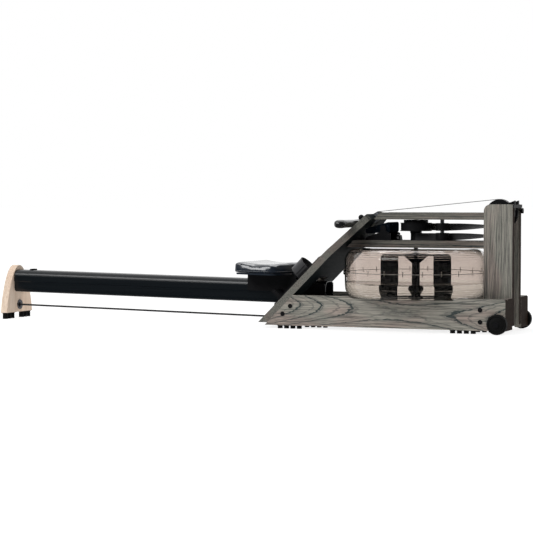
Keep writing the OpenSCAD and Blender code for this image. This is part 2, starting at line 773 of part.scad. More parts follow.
// Two rollers on one axle that spans the carriage
module seat_roller_pair(x) {
    reach = rail_w / 2 + 5;
    color(black) on_rail() translate([x, 0, seat_roller_r + 0.05]) rotate([90, 0, 0]) {
        translate([0, 0, -reach]) cylinder(r = 3 - running, h = 2 * reach);
        for (y = [-34, 16]) translate([0, 0, y]) cylinder(r = seat_roller_r, h = 18);
    }
}
module front_seat_rollers() { seat_roller_pair(roller_places[1]); }
module rear_seat_rollers() { seat_roller_pair(roller_places[0]); }

// ---------------------------------------------------------------- handle

module handle_bar() {
    end = handle_half_l - handle_r;
    color(black) translate([handle_x, 0, handle_z]) {
        rotate([90, 0, 0]) for (x = [-handle_flat, handle_flat]) translate([x, 0, -end])
            cylinder(r = handle_r, h = 2 * end);
        box([-handle_flat, -end, -handle_r], [handle_flat, end, handle_r]);
        for (s = side) {
            for (x = [-handle_flat, handle_flat]) translate([x, s * end, 0]) sphere(r = handle_r);
            translate([-handle_flat, s * end, 0]) rotate([0, 90, 0]) cylinder(r = handle_r, h = 2 * handle_flat);
        }
    }
}

// The strap's free end, from the roller at the board's top to the handle
module handle_strap_end() {
    a = 90 + roof_dir + 31;
    start = [roller_x + (strap_roller_r + strap_path_r) * cos(a), 0,
        roller_z + (strap_roller_r + strap_path_r) * sin(a)];
    finish = [handle_x + handle_flat + 12, 0, handle_z + handle_r - 3];
    d = (finish - start) / norm(finish - start);
    color(black) ribbon([for (t = [0.04, 0.9]) [mix(start, finish, t), [0, 1, 0], [-d.z, 0, d.x]]], strap_w, strap_t);
}

// ---------------------------------------------------------------- monitor

// A frame on the monitor's slanted top, at its button
module on_monitor() {
    translate([552, 0, 380]) rotate([0, -13, 0]) children();
}

module monitor_head() {
    color(black) difference() {
        side_plate(concat(arc([499, 371], 10, 106, 270, 8), arc([580, 372], 6, -90, 0, 4),
            arc([579, 397.5], 7, 0, 106, 5)), -monitor_half_w, monitor_half_w);
        bar_y(monitor_pivot.x, monitor_pivot.y, 4 + running, -monitor_half_w - 1, monitor_half_w + 1);
        on_monitor() translate([0, 0, 10]) cylinder(r = button_r + running, h = 30);
    }
}

module monitor_button() {
    color(steel) on_monitor() translate([0, 0, 14.5]) cylinder(r = button_r, h = 6);
}

// Two side plates on the middle rails with the hinge bar between them, and a bridge with an eye in front
module monitor_bracket() {
    in = monitor_half_w + 0.5;
    out = in + 4;
    color(black) {
        bar_y(monitor_pivot.x, monitor_pivot.y, 4, -out, out);
        for (y = [[in, out], [-out, -in]]) side_plate([[490, mid_rail_z[1]], [590, mid_rail_z[1]], [590, 362],
            [572, 370], [568, 392], [552, 392], [548, 366], [500, 350], [490, 345]], y[0], y[1]);
        box([592, -post_inner_y, 330], [616, post_inner_y, 336]);
        difference() {
            side_plate([[594, 336], [615, 336], [612, 354], [600, 358], [594, 352]], -12, 12);
            bar_y(604, 346, 5, -20, 20);
        }
    }
}

rear_leg();
rear_foot_pads();
cord_eyelet();
monorail();
rail_cradle();
rail_stops();
base_beam_right();
base_beam_left();
cross_boards();
outer_floor_pads();
inner_floor_pads();
front_blocks();
post_right();
post_left();
top_rail_right();
top_rail_left();
mid_rail_right();
mid_rail_left();
footboard();
frame_bolts();
tank_lower_shell();
tank_seal();
tank_upper_shell();
tank_plug();
flange_screws();
bearing_plates();
roller_spindle();
pulley_axles();
strap_guard();
guard_knob();
handle_strap();
recoil_belt();
bungee_cord();
belt_clip();
handle_pegs();
foot_plates();
foot_straps();
monitor_bracket();
wheel_right();
wheel_left();
seat_pad();
seat_base();
seat_carriage();
front_seat_rollers();
rear_seat_rollers();
handle_bar();
handle_strap_end();
paddle();
paddle_shaft();
strap_reel();
top_pulley();
lower_pulley();
bottom_pulley();
strap_guide_roller();
belt_guide_roller();
board_roller();
heel_rest_right();
heel_rest_left();
monitor_head();
monitor_button();
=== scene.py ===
"""The looks of a rowing machine with a water tank: camera, lights, materials and the finer pieces."""
import math

import bmesh
import bpy
from mathutils import Matrix, Vector
from mathutils.bvhtree import BVHTree


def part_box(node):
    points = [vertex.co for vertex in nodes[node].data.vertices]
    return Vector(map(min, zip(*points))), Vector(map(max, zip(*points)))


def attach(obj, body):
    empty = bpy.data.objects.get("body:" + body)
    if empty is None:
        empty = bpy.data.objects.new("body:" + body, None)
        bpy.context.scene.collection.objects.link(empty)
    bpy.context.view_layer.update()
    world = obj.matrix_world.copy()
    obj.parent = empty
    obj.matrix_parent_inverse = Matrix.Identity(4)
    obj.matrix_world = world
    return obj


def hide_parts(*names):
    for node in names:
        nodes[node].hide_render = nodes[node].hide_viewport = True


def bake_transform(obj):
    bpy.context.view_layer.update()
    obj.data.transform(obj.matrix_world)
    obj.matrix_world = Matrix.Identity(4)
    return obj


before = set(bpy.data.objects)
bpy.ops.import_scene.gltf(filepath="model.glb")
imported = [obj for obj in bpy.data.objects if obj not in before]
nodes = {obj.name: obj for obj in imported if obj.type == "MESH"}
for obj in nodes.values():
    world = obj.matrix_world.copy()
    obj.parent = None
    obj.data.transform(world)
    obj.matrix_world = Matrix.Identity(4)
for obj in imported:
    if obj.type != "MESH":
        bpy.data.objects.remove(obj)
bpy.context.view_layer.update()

# The rail slopes down to the front by one degree from this height over the middle
RAIL = Matrix.Translation((0, 0, 0.181)) @ Matrix.Rotation(math.radians(1), 4, "Y")
# The footboard's frame: X to the right side, Y up the slope, Z towards the rower
BOARD = Matrix.Translation((0.0725, 0, 0)) @ Matrix(((0, 1, 0, 0), (-1, 0, 0, 0), (0, 0, 1, 0), (0, 0, 0, 1))) \
    @ Matrix.Rotation(math.radians(45), 4, "X")


# ---------------------------------------------------------------- camera, lights and floor

def make_camera():
    camera = bpy.data.objects.new("camera", bpy.data.cameras.new("camera"))
    camera.data.lens = 121.6
    camera.data.sensor_width = 36
    camera.location = (2.729, -6.504, 0.499)
    camera.rotation_euler = (math.radians(87.79), 0, math.radians(22.3))
    bpy.context.collection.objects.link(camera)
    bpy.context.scene.camera = camera


def make_area_light(name, place, aim, size, watts):
    light = bpy.data.lights.new(name, "AREA")
    light.shape = "RECTANGLE"
    light.size, light.size_y = size
    light.energy = watts
    lamp = bpy.data.objects.new(name, light)
    lamp.location = place
    lamp.rotation_euler = (Vector(aim) - Vector(place)).to_track_quat("-Z", "Y").to_euler()
    bpy.context.collection.objects.link(lamp)


def make_surroundings():
    """A room that is white behind the machine and above it, and dark in front, so black surfaces stay black."""
    world = bpy.data.worlds.new("studio")
    bpy.context.scene.world = world
    world.use_nodes = True
    tree = world.node_tree
    direction = tree.nodes.new("ShaderNodeTexCoord").outputs["Generated"]
    lean = tree.nodes.new("ShaderNodeVectorMath")
    lean.operation = "DOT_PRODUCT"
    lean.inputs[1].default_value = (-0.42, 0.80, 0.42)
    tree.links.new(direction, lean.inputs[0])
    spread = tree.nodes.new("ShaderNodeMapRange")
    spread.interpolation_type = "SMOOTHSTEP"
    for name, value in {"From Min": -0.15, "From Max": 0.45, "To Min": 0.05, "To Max": 1.0}.items():
        spread.inputs[name].default_value = value
    tree.links.new(lean.outputs["Value"], spread.inputs["Value"])
    tree.links.new(spread.outputs["Result"], tree.nodes["Background"].inputs["Strength"])
    tree.nodes["Background"].inputs["Color"].default_value = (1, 1, 1, 1)

    make_area_light("key", (-2.6, -5.4, 4.2), (0.3, 0, 0.15), (4.5, 3.0), 300)
    make_area_light("top", (0.2, 1.6, 3.6), (0.1, 0, 0.2), (3.0, 2.0), 45)
    bpy.context.scene.view_settings.view_transform = "Standard"


def make_floor():
    mesh = bpy.data.meshes.new("floor")
    mesh.from_pydata([(-40, -12, 0), (40, -12, 0), (40, 60, 0), (-40, 60, 0)], [], [(0, 1, 2, 3)])
    floor = bpy.data.objects.new("floor", mesh)
    bpy.context.collection.objects.link(floor)
    pale = Material("pale_floor", (0.32, 0.32, 0.32), 0.9, specular_ior_level=0.0)
    pale.shader.inputs["Emission Color"].default_value = (1, 1, 1, 1)
    pale.shader.inputs["Emission Strength"].default_value = 0.82
    mesh.materials.append(pale.material)
    floor.visible_glossy = False    # black sides would mirror it, which turns them grey


# ---------------------------------------------------------------- materials

class Material:
    """A Principled material, built by short calls. Positions are in metres, in the object's frame."""

    def __init__(self, name, color, roughness, metallic=0.0, **uniform):
        self.material = bpy.data.materials.new(name)
        self.material.use_nodes = True
        self.tree = self.material.node_tree
        self.shader = self.tree.nodes["Principled BSDF"]
        self.set(self.shader, "Base Color", (*color, 1))
        self.set(self.shader, "Roughness", roughness)
        self.set(self.shader, "Metallic", metallic)
        for key, value in uniform.items():
            self.set(self.shader, key.replace("_", " ").title().replace("Ior", "IOR"), value)
        self.place = self.add("ShaderNodeTexCoord").outputs["Object"]

    def set(self, node, name, value):
        socket = node.inputs[name]
        if isinstance(value, bpy.types.NodeSocket):
            self.tree.links.new(value, socket)
        else:
            socket.default_value = value

    def add(self, kind, inputs=None, **settings):
        node = self.tree.nodes.new(kind)
        for key, value in settings.items():
            setattr(node, key, value)
        for key, value in (inputs or {}).items():
            self.set(node, key, value)
        return node

    def math(self, operation, a, b=0.0):
        return self.add("ShaderNodeMath", {0: a, 1: b}, operation=operation).outputs[0]

    def stretched(self, scale, vector=None):
        """The position, scaled along each axis."""
        return self.add("ShaderNodeMapping", {"Vector": vector or self.place, "Scale": scale}).outputs[0]

    def noise(self, vector, scale=1.0, detail=3.0, roughness=0.5):
        return self.add("ShaderNodeTexNoise", {"Vector": vector, "Scale": scale, "Detail": detail,
                                               "Roughness": roughness}).outputs[0]

    def ramp(self, factor, stops):
        node = self.add("ShaderNodeValToRGB", {"Fac": factor})
        points = node.color_ramp.elements
        while len(points) < len(stops):
            points.new(0.5)
        for point, (position, color) in zip(points, stops):
            point.position = position
            point.color = (*color, 1) if isinstance(color, tuple) else (color, color, color, 1)
        return node.outputs[0]

    def mix(self, factor, a, b):
        node = self.add("ShaderNodeMix", data_type="RGBA")
        for index, value in ((0, factor), (6, a), (7, b)):
            if isinstance(value, tuple):
                value = (*value, 1)
            self.set(node, index, value)
        return node.outputs[2]

    def bump(self, height, strength, distance):
        node = self.add("ShaderNodeBump", {"Height": height, "Strength": strength, "Distance": distance})
        self.set(self.shader, "Normal", node.outputs[0])

    def color(self, value):
        self.set(self.shader, "Base Color", value)

    def roughness(self, factor, low, high):
        node = self.add("ShaderNodeMapRange", {"Value": factor, "To Min": low, "To Max": high})
        self.set(self.shader, "Roughness", node.outputs[0])


def dress(material, *names):
    """Gives a material to CAD nodes."""
    for name in names:
        for slot in nodes[name].material_slots:
            slot.material = material


GRAIN_AXES = {"X": (0, 1, 2), "Y": (1, 0, 2), "Z": (2, 1, 0)}


def make_wood(name, grain, heart, lean, ring=0.005, bow=(0.0, 0.0), wander=0.004, stain="grey", seed=0.0,
              painted_front_shade=(0.020, 0.012, 0.008), tone=1.0):
    """A board sawn from a log. grain is the board's long axis, heart the log's centre on the other two axes.
    lean is how far the centre drifts along them for each metre of board. bow is (depth lost per square metre,
    place) and makes cathedral grain that turns back there. The front shade colour is painted shade: faces turned
    towards the front, where the light doesn't reach, are painted dark with it, and at the ends of beams and
    blocks it also stands for their darker end grain. tone scales the colour of the ground."""
    wood = Material(name, (0.3, 0.28, 0.25), 0.5, specular_ior_level=0.01)
    axes = wood.add("ShaderNodeSeparateXYZ", {"Vector": wood.place}).outputs
    along, deep, wide = (axes[i] for i in GRAIN_AXES[grain])
    board = wood.add("ShaderNodeCombineXYZ", {"X": along, "Y": deep, "Z": wide}).outputs[0]
    moved = wood.add("ShaderNodeMapping", {"Vector": board, "Location": (seed, seed, seed)}).outputs[0]

    drift = wood.noise(wood.stretched((4.0, 14.0, 14.0), moved), 1.0, 2.0)
    shake = wood.noise(wood.stretched((45.0, 170.0, 170.0), moved), 1.0, 3.0)
    bend = wood.math("POWER", wood.math("SUBTRACT", along, bow[1]), 2.0)
    bend = wood.math("MULTIPLY", bend, bow[0])
    offsets = []
    for axis, centre, slope, curve in ((deep, heart[0], lean[0], bend), (wide, heart[1], lean[1], 0.0)):
        middle = wood.math("ADD", wood.math("MULTIPLY", along, slope), centre)
        middle = wood.math("SUBTRACT", middle, curve)
        offsets.append(wood.math("POWER", wood.math("SUBTRACT", axis, middle), 2.0))
    radius = wood.math("SQRT", wood.math("ADD", *offsets))
    radius = wood.math("ADD", radius, wood.math("MULTIPLY", drift, wander))
    radius = wood.math("ADD", radius, wood.math("MULTIPLY", shake, 0.0016))
    rings = wood.math("DIVIDE", radius, ring)
    phase = wood.math("FRACT", rings)
    year = wood.noise(wood.add("ShaderNodeCombineXYZ", {"X": wood.math("FLOOR", rings)}).outputs[0], 3.7, 0.0)

    pores = wood.noise(wood.stretched((24.0, 950.0, 950.0), moved), 1.0, 2.0, 0.6)
    streaks = wood.noise(wood.stretched((6.0, 240.0, 240.0), moved), 1.0, 4.0, 0.6)
    patches = wood.noise(wood.stretched((5.0, 16.0, 16.0), moved), 1.0, 1.0)
    if stain == "grey":
        light, warm = (0.36, 0.34, 0.295), (0.38, 0.315, 0.275)
        dark, pore = (0.022, 0.036, 0.040), (0.055, 0.060, 0.056)
        light, warm = tuple(tone * c for c in light), tuple(tone * c for c in warm)
    else:
        light, warm = (0.84, 0.70, 0.58), (0.86, 0.68, 0.55)
        dark, pore = (0.62, 0.46, 0.34), (0.56, 0.42, 0.31)
    early = wood.ramp(phase, [(0.0, 1.0), (0.05, 0.90), (0.09, 0.22), (0.13, 0.55), (0.19, 0.10), (0.48, 0.04),
                              (0.57, 0.05), (0.64, 0.55), (0.70, 0.06), (0.95, 0.10), (1.0, 1.0)])
    early = wood.math("MULTIPLY", early, wood.math("ADD", wood.math("MULTIPLY", year, 0.9), 0.45))
    ground = wood.mix(wood.ramp(patches, [(0.45, 0.0), (0.62, 1.0)]), light, warm)
    ground = wood.mix(wood.ramp(streaks, [(0.42, 0.0), (0.72, 0.9)]), ground, pore)
    colour = wood.mix(wood.math("MINIMUM", early, 0.95), ground, dark)
    colour = wood.mix(wood.math("MULTIPLY", wood.ramp(pores, [(0.5, 0.0), (0.68, 1.0)]), 0.5), colour, pore)
    # Painted shade: faces turned towards the front (+X) are painted with the dark front shade colour, which at
    # the beam and block ends also stands for darker end grain
    normal_for_painted_shade = wood.add("ShaderNodeNewGeometry").outputs["True Normal"]
    front = wood.add("ShaderNodeSeparateXYZ", {"Vector": normal_for_painted_shade}).outputs[0]
    if stain == "grey":
        colour = wood.mix(wood.ramp(front, [(0.35, 0.0), (0.65, 1.0)]), colour, painted_front_shade)
    wood.color(colour)
    height = wood.math("SUBTRACT", 1.0, wood.math("ADD", wood.math("MULTIPLY", early, 0.35), pores))
    wood.bump(height, 0.35, 0.0005)
    wood.roughness(streaks, 0.42, 0.62)
    return wood.material


def make_moulded(name, color, roughness=0.45, grain=2600.0, depth=0.00012, **uniform):
    """Moulded plastic or rubber with a fine texture and slight variation."""
    plastic = Material(name, color, roughness, **uniform)
    tone = plastic.noise(plastic.place, 28.0, 3.0)
    plastic.color(plastic.mix(tone, tuple(0.7 * c for c in color), tuple(1.35 * c for c in color)))
    plastic.bump(plastic.noise(plastic.place, grain, 2.0), 0.25, depth)
    plastic.roughness(plastic.noise(plastic.place, 60.0, 4.0), roughness - 0.10, roughness + 0.12)
    return plastic.material


def make_brushed(name, color, roughness, scale, metallic=1.0, **uniform):
    """Metal with fine lines along its length."""
    metal = Material(name, color, roughness, metallic, **uniform)
    lines = metal.noise(metal.stretched(scale), 1.0, 3.0)
    metal.color(metal.mix(lines, tuple(0.8 * c for c in color), tuple(1.2 * c for c in color)))
    metal.roughness(lines, roughness - 0.08, roughness + 0.12)
    metal.bump(lines, 0.12, 0.00008)
    return metal.material


def make_webbing(name, color, pitch=0.0016):
    """Woven band: two crossed waves of raised threads."""
    cloth = Material(name, color, 0.75, sheen_weight=0.3)
    waves = []
    for direction in ("X", "Y", "Z"):
        wave = cloth.add("ShaderNodeTexWave", {"Vector": cloth.place, "Scale": 0.314 / pitch, "Distortion": 0.4,
                                               "Detail": 1.0}, bands_direction=direction)
        waves.append(wave.outputs["Fac"])
    weave = cloth.math("MAXIMUM", waves[0], cloth.math("MAXIMUM", waves[1], waves[2]))
    cloth.color(cloth.mix(weave, tuple(0.5 * c for c in color), tuple(1.6 * c for c in color)))
    cloth.bump(weave, 0.5, 0.0003)
    return cloth.material


def make_seat_cover():
    """Coated cover with a fine pebble. Its top mirrors the bright room at a low angle."""
    cover = Material("seat_cover", (0.008, 0.013, 0.022), 0.30, specular_ior_level=0.5, coat_weight=1.0,
                     coat_roughness=0.14)
    pebble = cover.add("ShaderNodeTexVoronoi", {"Vector": cover.place, "Scale": 700.0}).outputs["Distance"]
    wear = cover.noise(cover.stretched((18, 7, 18)), 1.0, 4.0)
    cover.color(cover.mix(wear, (0.006, 0.011, 0.019), (0.011, 0.017, 0.028)))
    cover.bump(pebble, 0.12, 0.0002)
    cover.roughness(wear, 0.26, 0.38)
    return cover.material


def make_tank_plastic():
    """Clear plastic with a smoky tint that is painted darker towards its rim by the angle to the view, and faint
    lathe lines.
    """
    clear = Material("tank_plastic", (0.74, 0.67, 0.63), 0.03, transmission_weight=1.0, ior=1.45,
                     specular_tint=(0.3, 0.3, 0.3, 1))
    rim_tint_and_shade = clear.add("ShaderNodeLayerWeight", {"Blend": 0.5}).outputs["Facing"]
    # The rim is painted darker by the angle to the view: partly the real deeper tint of the wall seen edge-on,
    # partly painted shade
    clear.color(clear.mix(clear.ramp(rim_tint_and_shade, [(0.55, 0.0), (0.92, 1.0)]), (0.70, 0.64, 0.60), (0.22, 0.22, 0.21)))
    lines = clear.noise(clear.stretched((0.6, 0.6, 130.0)), 1.0, 3.0)
    clear.bump(lines, 0.06, 0.0006)
    clear.roughness(lines, 0.0, 0.012)
    return clear.material


def make_water():
    water = Material("water", (0.93, 0.97, 0.95), 0.0, transmission_weight=1.0, ior=1.05)
    ripples = water.noise(water.place, 14.0, 2.0)
    water.bump(ripples, 0.15, 0.002)
    return water.material


# ---------------------------------------------------------------- mesh helpers

def new_piece(name, mesh_or_bm, material, body, *replaced):
    """Links a finished mesh as a piece that rides on a body."""
    mesh = mesh_or_bm
    if isinstance(mesh_or_bm, bmesh.types.BMesh):
        mesh = bpy.data.meshes.new(name)
        bmesh.ops.recalc_face_normals(mesh_or_bm, faces=mesh_or_bm.faces)
        mesh_or_bm.to_mesh(mesh)
        mesh_or_bm.free()
    piece = bpy.data.objects.new(name, mesh)
    bpy.context.collection.objects.link(piece)
    mesh.materials.append(material)
    for polygon in mesh.polygons:
        polygon.use_smooth = True
    if body:
        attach(piece, body)
    if replaced:
        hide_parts(*replaced)
    return piece


def apply_modifiers(piece):
    """Leaves the piece's mesh as its modifiers make it."""
    evaluated = piece.evaluated_get(bpy.context.evaluated_depsgraph_get())
    mesh = bpy.data.meshes.new_from_object(evaluated)
    piece.modifiers.clear()
    piece.data = mesh


def loft(rings):
    """A closed mesh through rings of points, each ring with the same number of points."""
    bm = bmesh.new()
    loops = [[bm.verts.new(point) for point in ring] for ring in rings]
    count = len(loops[0])
    for a, b in zip(loops, loops[1:]):
        for i in range(count):
            j = (i + 1) % count
            bm.faces.new((a[i], a[j], b[j], b[i]))
    bm.faces.new(loops[0])
    bm.faces.new(loops[-1])
    return bm


def lathe(profile, centre, steps=128):
    """Turns a profile of (radius, height) about a vertical axis through centre."""
    rings = [[Vector((centre[0] + radius * math.cos(a), centre[1] + radius * math.sin(a), height))
              for a in (2 * math.pi * i / steps for i in range(steps))] for radius, height in profile]
    return loft(rings)


def add_bevel(piece, width, segments=2, angle=35):
    bevel = piece.modifiers.new("bevel", "BEVEL")
    bevel.width = width
    bevel.segments = segments
    bevel.limit_method = "ANGLE"
    bevel.angle_limit = math.radians(angle)
    bevel.harden_normals = True


def superellipse(angle, half_width, half_height, power):
    x, y = math.cos(angle), math.sin(angle)
    return (math.copysign(abs(x) ** power, x) * half_width, math.copysign(abs(y) ** power, y) * half_height)


# ---------------------------------------------------------------- the pieces

def dress_wood():
    # A heart is given on the two axes that GRAIN_AXES puts after the grain
    dress(make_wood("ash_right_beam", "X", (0.0845, 0.1028), (0.0, -0.046), bow=(0.076, 0.675)),
          "base_beam_right")
    dress(make_wood("ash_left_beam", "X", (-0.084, 0.085), (0.0, -0.02), bow=(0.06, 0.58), seed=3.1),
          "base_beam_left")
    dress(make_wood("ash_right_post", "Z", (0.02, 0.900), (0.0, -0.07), seed=5.3), "post_right")
    dress(make_wood("ash_left_post", "Z", (-0.02, 0.900), (0.0, 0.08), seed=7.7), "post_left")
    dress(make_wood("ash_rails", "X", (0.2, 0.26), (0.004, 0.004), ring=0.0045, wander=0.002, seed=1.9,
                    tone=0.62),
          "top_rail_right", "top_rail_left", "mid_rail_right", "mid_rail_left")
    # The footboard's back faces the front and is painted near black as shade
    dress(make_wood("ash_footboard", "Y", (0.32, -0.10), (0.02, 0.01), seed=9.2, painted_front_shade=(0.010, 0.013, 0.014),
                    tone=0.6),
          "footboard", "cross_boards")
    dress(make_wood("pale_ash", "Z", (-0.90, 0.02), (0.02, 0.05), stain="pale", seed=2.2), "rear_leg")
    dress(make_wood("ash_blocks", "Y", (1.0, 0.3), (0.02, 0.02), seed=4.0), "front_blocks")
    for name in ("base_beam_right", "base_beam_left", "post_right", "post_left", "top_rail_right",
                 "top_rail_left", "mid_rail_right", "mid_rail_left", "footboard", "cross_boards", "rear_leg",
                 "front_blocks"):
        add_bevel(nodes[name], 0.0028, 3)


def dress_hardware():
    black = make_moulded("black_plastic", (0.006, 0.006, 0.007), 0.5, specular_ior_level=0.12)
    blade = make_moulded("blade_plastic", (0.0012, 0.0022, 0.0040), 0.5, specular_ior_level=0.0)
    screen = make_moulded("monitor_plastic", (0.004, 0.006, 0.009), 0.5, specular_ior_level=0.0)
    rubber = make_moulded("rubber", (0.006, 0.006, 0.006), 0.7, 1400, 0.0003, specular_ior_level=0.1)
    steel = make_brushed("steel", (0.30, 0.31, 0.33), 0.30, (30, 400, 400))
    dark_steel = make_brushed("dark_steel", (0.08, 0.08, 0.09), 0.35, (30, 400, 400))
    pale_steel = make_brushed("pale_steel", (0.72, 0.69, 0.64), 0.30, (400, 400, 30))
    powder = make_moulded("powder_coat", (0.006, 0.006, 0.007), 0.45, 1800, 0.0002, specular_ior_level=0.12)
    rail = make_brushed("rail_finish", (0.003, 0.005, 0.007), 0.30, (3, 260, 260), 0.0, coat_weight=0.25,
                        coat_roughness=0.12, specular_ior_level=0.25)
    dress(black, "foot_plates", "handle_pegs", "strap_guard", "guard_knob", "tank_plug", "front_seat_rollers",
          "rear_seat_rollers", "strap_reel", "top_pulley", "lower_pulley", "bottom_pulley", "monitor_button",
          "strap_guide_roller", "belt_guide_roller", "board_roller", "heel_rest_right", "heel_rest_left")
    dress(blade, "paddle")
    dress(screen, "monitor_head")
    dress(dark_steel, "cord_eyelet")
    dress(pale_steel, "flange_screws")
    dress(rubber, "rear_foot_pads", "rail_stops", "outer_floor_pads", "inner_floor_pads",
          "wheel_right", "wheel_left")
    dress(steel, "roller_spindle", "pulley_axles", "belt_clip", "paddle_shaft")
    dress(powder, "rail_cradle", "frame_bolts", "bearing_plates", "monitor_bracket", "seat_carriage")
    dress(rail, "monorail")
    for name in ("foot_plates", "heel_rest_right", "heel_rest_left", "monitor_head", "rail_cradle",
                 "strap_guard", "seat_base", "outer_floor_pads", "inner_floor_pads", "rear_foot_pads",
                 "seat_carriage", "strap_reel", "wheel_right", "wheel_left", "frame_bolts", "tank_plug",
                 "guard_knob"):
        add_bevel(nodes[name], 0.0010)
    return black


def dress_tank():
    dress(make_tank_plastic(), "tank_lower_shell", "tank_upper_shell")
    dress(make_moulded("seal_rubber", (0.42, 0.40, 0.37), 0.35, 1400, 0.0001), "tank_seal")
    low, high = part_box("tank_lower_shell")
    centre = ((low.x + high.x) / 2, (low.y + high.y) / 2)
    shell_radius, wall, corner, depth = 0.269, 0.004, 0.041, 0.055
    sunk = 0.0004             # how far the water goes into the wall, so no air shows between them
    shaft, dip = 0.0055, 0.0008
    radius = shell_radius - wall + sunk
    floor = low.z + wall - sunk
    level = floor + depth
    profile = [(shaft, floor), (radius - corner, floor)]
    for i in range(1, 9):
        angle = math.pi / 2 * i / 8
        profile.append((radius - corner + corner * math.sin(angle), floor + corner * (1 - math.cos(angle))))
    profile += [(radius, level), (radius - 0.002, level - dip), (0.02, level - dip), (shaft, level - dip)]
    new_piece("tank_water", lathe(profile, centre), make_water(), "frame")


# ---------------------------------------------------------------- straps, belt and cord

# Places in metres, the same as the CAD's: the reel, the guide rollers, the pulleys and the board's roller
TANK_X, REEL_R, DRUM_R, GUIDE_R = 0.6715, 0.057, 0.020, 0.0245
BAND_W, BAND_T = 0.027, 0.0015
LIFT = BAND_T / 2 + 0.0003
SPINDLE = (TANK_X + 0.111, -(GUIDE_R + LIFT))
STRAP_Z, BELT_Z = 0.3865, 0.350
TOP_PULLEY, TOP_R = (0.9965, 0.441), 0.049
LOW_PULLEY, BOTTOM_Z, SMALL_R = (0.999, 0.332), 0.063, 0.022
BOARD_ROLLER, BOARD_ROLLER_R = (0.5265, 0.433), 0.010


def line_angle(first, first_r, second, second_r):
    """Direction of the line that touches two circles. A negative radius is on the line's other side."""
    gap = Vector(second) - Vector(first)
    return math.atan2(gap.y, gap.x) - math.asin((first_r - second_r) / gap.length)


def beside(x, y, radius, angle, z):
    out = Vector((math.cos(angle), math.sin(angle), 0))
    return Vector((x, y, z)) + out * radius, Vector((0, 0, 1)), out


def around(place, radius, angle):
    out = Vector((math.cos(angle), 0, math.sin(angle)))
    return Vector((place[0], 0, place[1])) + out * radius, Vector((0, 1, 0)), out


def twist(start, end, steps=16):
    """A quarter turn of the band from upright to flat, from start to end in the XZ plane."""
    frames = []
    for i in range(steps + 1):
        t = i / steps
        turn = math.pi / 2 * t
        place = Vector((start[0], 0, start[1])).lerp(Vector((end[0], 0, end[1])), t)
        frames.append((place, Vector((0, math.sin(turn), math.cos(turn))),
                       Vector((0, math.cos(turn), -math.sin(turn)))))
    return frames


def turned(band_frame):
    return band_frame[0], band_frame[1], -band_frame[2]


def band(name, frames, material, body, *replaced, width=BAND_W, thick=BAND_T):
    """A woven band along frames of (place, width direction, thickness direction), with thick selvedges."""
    half = [(1.0, 0.55), (0.98, 1.0), (0.88, 1.0), (0.84, 0.55), (0.3, 0.5), (-0.3, 0.5), (-0.84, 0.55),
            (-0.88, 1.0), (-0.98, 1.0), (-1.0, 0.55)]
    section = half + [(u, -v) for u, v in reversed(half)]
    rings = [[place + across * (u * width / 2) + out * (v * thick / 2) for u, v in section]
             for place, across, out in frames]
    piece = new_piece(name, loft(rings), material, body, *replaced)
    return piece


def tube(points, radius, steps=12, dense=10):
    """A round tube through points, on a smooth curve."""
    path = []
    for i in range(len(points) - 1):
        before, a, b, after = (Vector(points[min(max(k, 0), len(points) - 1)])
                               for k in (i - 1, i, i + 1, i + 2))
        for j in range(dense):
            t = j / dense
            path.append(0.5 * (2 * a + (b - before) * t + (2 * before - 5 * a + 4 * b - after) * t ** 2
                               + (3 * a - before - 3 * b + after) * t ** 3))
    path.append(Vector(points[-1]))
    rings = []
    for i, place in enumerate(path):
        ahead = (path[min(i + 1, len(path) - 1)] - path[max(i - 1, 0)]).normalized()
        side = ahead.cross(Vector((0, 0, 1))).normalized()
        up = side.cross(ahead)
        rings.append([place + radius * (math.cos(a) * side + math.sin(a) * up)
                      for a in (2 * math.pi * k / steps for k in range(steps))])
    return loft(rings)


